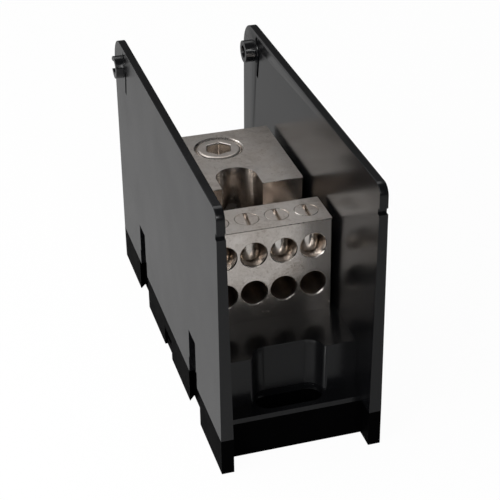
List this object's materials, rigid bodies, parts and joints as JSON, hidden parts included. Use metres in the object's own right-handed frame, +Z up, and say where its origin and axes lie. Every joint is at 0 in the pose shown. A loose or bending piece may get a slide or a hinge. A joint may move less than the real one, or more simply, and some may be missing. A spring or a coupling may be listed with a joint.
{
  "type": "power distribution block",
  "caption": "Single-pole power distribution block: metal connector with clamping screws between tall insulating side walls.",
  "frame": {"origin": "centre of the underside, on the plane that rests on the panel", "axes": "+Z up, away from the panel; -Y is the front, where the outgoing wires enter; +Y the rear, where the incoming wire enters; +X to the right, the side with the dovetail keys"},
  "size_m": [0.0562, 0.14, 0.0922],
  "materials": {
    "housing_plastic": "dark grey moulded thermoplastic, semi-gloss",
    "base_plastic": "black moulded thermoplastic, dull",
    "plated_aluminium": "tin-plated, fine-grained, warm grey",
    "set_screw_metal": "tin-plated, bright",
    "zinc_steel": "zinc-plated"
  },
  "bodies": {
    "housing_with_block": {"housing": "housing_plastic", "base": "base_plastic", "connector_block": "plated_aluminium", "block_mounting_screw": "zinc_steel", "block_spring_washer": "zinc_steel", "block_flat_washer": "zinc_steel", "block_nut": "zinc_steel"},
    "primary_set_screw_body": {"primary_set_screw": "set_screw_metal"},
    "upper_set_screw_1_body": {"upper_set_screw_1": "set_screw_metal"},
    "upper_set_screw_2_body": {"upper_set_screw_2": "set_screw_metal"},
    "upper_set_screw_3_body": {"upper_set_screw_3": "set_screw_metal"},
    "upper_set_screw_4_body": {"upper_set_screw_4": "set_screw_metal"},
    "lower_set_screw_1_body": {"lower_set_screw_1": "set_screw_metal"},
    "lower_set_screw_2_body": {"lower_set_screw_2": "set_screw_metal"},
    "lower_set_screw_3_body": {"lower_set_screw_3": "set_screw_metal"},
    "lower_set_screw_4_body": {"lower_set_screw_4": "set_screw_metal"}
  },
  "joints": [
    {"name": "primary_set_screw_travel", "type": "slide", "parent": "housing_with_block", "child": "primary_set_screw_body", "axis": [0, 0, 1], "range_m": [-0.005, 0.0088]},
    {"name": "upper_set_screw_1_travel", "type": "slide", "parent": "housing_with_block", "child": "upper_set_screw_1_body", "axis": [0, 0, 1], "range_m": [0, 0.0085]},
    {"name": "upper_set_screw_2_travel", "type": "slide", "parent": "housing_with_block", "child": "upper_set_screw_2_body", "axis": [0, 0, 1], "range_m": [0, 0.0085]},
    {"name": "upper_set_screw_3_travel", "type": "slide", "parent": "housing_with_block", "child": "upper_set_screw_3_body", "axis": [0, 0, 1], "range_m": [0, 0.0085]},
    {"name": "upper_set_screw_4_travel", "type": "slide", "parent": "housing_with_block", "child": "upper_set_screw_4_body", "axis": [0, 0, 1], "range_m": [0, 0.0085]},
    {"name": "lower_set_screw_1_travel", "type": "slide", "parent": "housing_with_block", "child": "lower_set_screw_1_body", "axis": [0, 0, 1], "range_m": [0, 0.008]},
    {"name": "lower_set_screw_2_travel", "type": "slide", "parent": "housing_with_block", "child": "lower_set_screw_2_body", "axis": [0, 0, 1], "range_m": [0, 0.008]},
    {"name": "lower_set_screw_3_travel", "type": "slide", "parent": "housing_with_block", "child": "lower_set_screw_3_body", "axis": [0, 0, 1], "range_m": [0, 0.008]},
    {"name": "lower_set_screw_4_travel", "type": "slide", "parent": "housing_with_block", "child": "lower_set_screw_4_body", "axis": [0, 0, 1], "range_m": [0, 0.008]}
  ]
}
